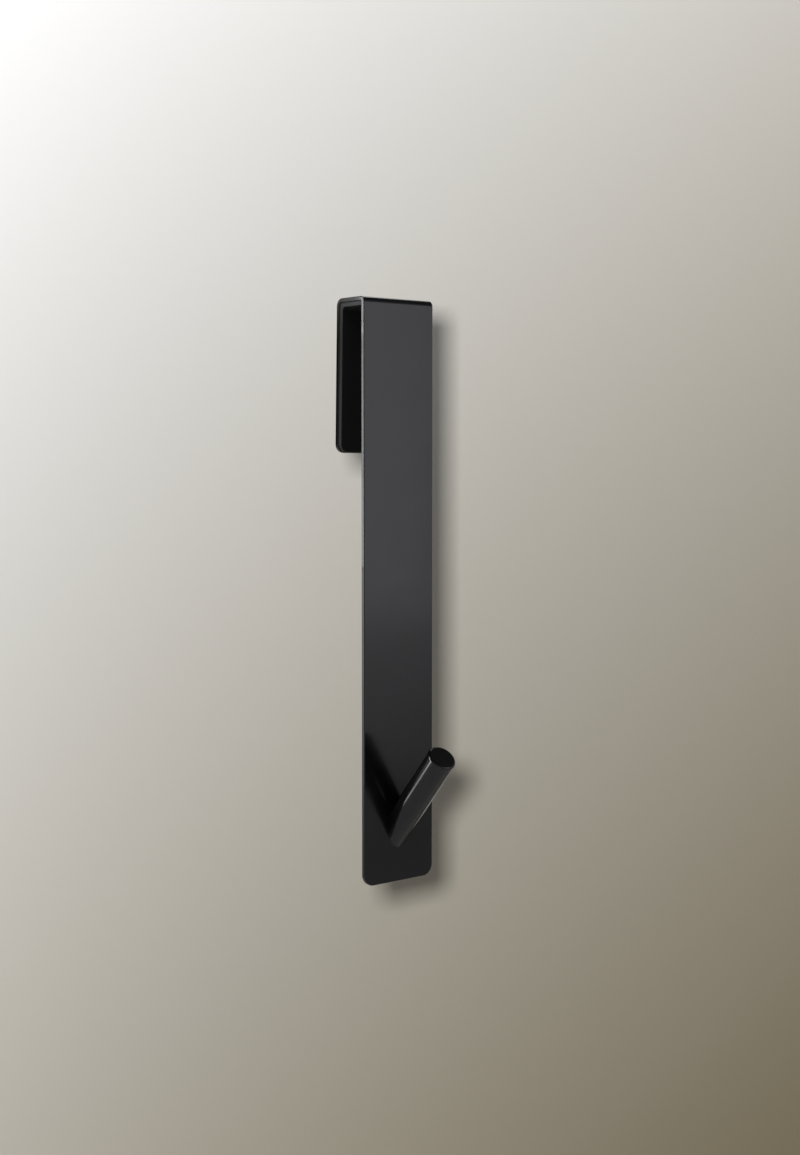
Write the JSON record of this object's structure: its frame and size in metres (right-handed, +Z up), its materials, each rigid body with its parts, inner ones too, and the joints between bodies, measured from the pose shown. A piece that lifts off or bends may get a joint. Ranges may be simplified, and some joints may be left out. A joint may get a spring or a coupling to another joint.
{
  "type": "over door hook",
  "caption": "Flat black strap bent into a narrow hook over a door's top edge, with a slanted round peg near its lower end and a thin soft liner inside the fold.",
  "frame": {"origin": "middle of the seat that rests on the door's top edge, at mid width and at the middle of the door's thickness", "axes": "+Z up along the hanging hook, X along the strap's width, -Y towards the front, the side that the peg points to"},
  "size_m": [0.03, 0.042, 0.1983],
  "materials": {
    "black_coat": "semi-gloss black coat on steel",
    "liner_rubber": "matt dark grey"
  },
  "bodies": {
    "root": {"strap": "black_coat", "peg": "black_coat", "liner": "liner_rubber"}
  },
  "joints": []
}
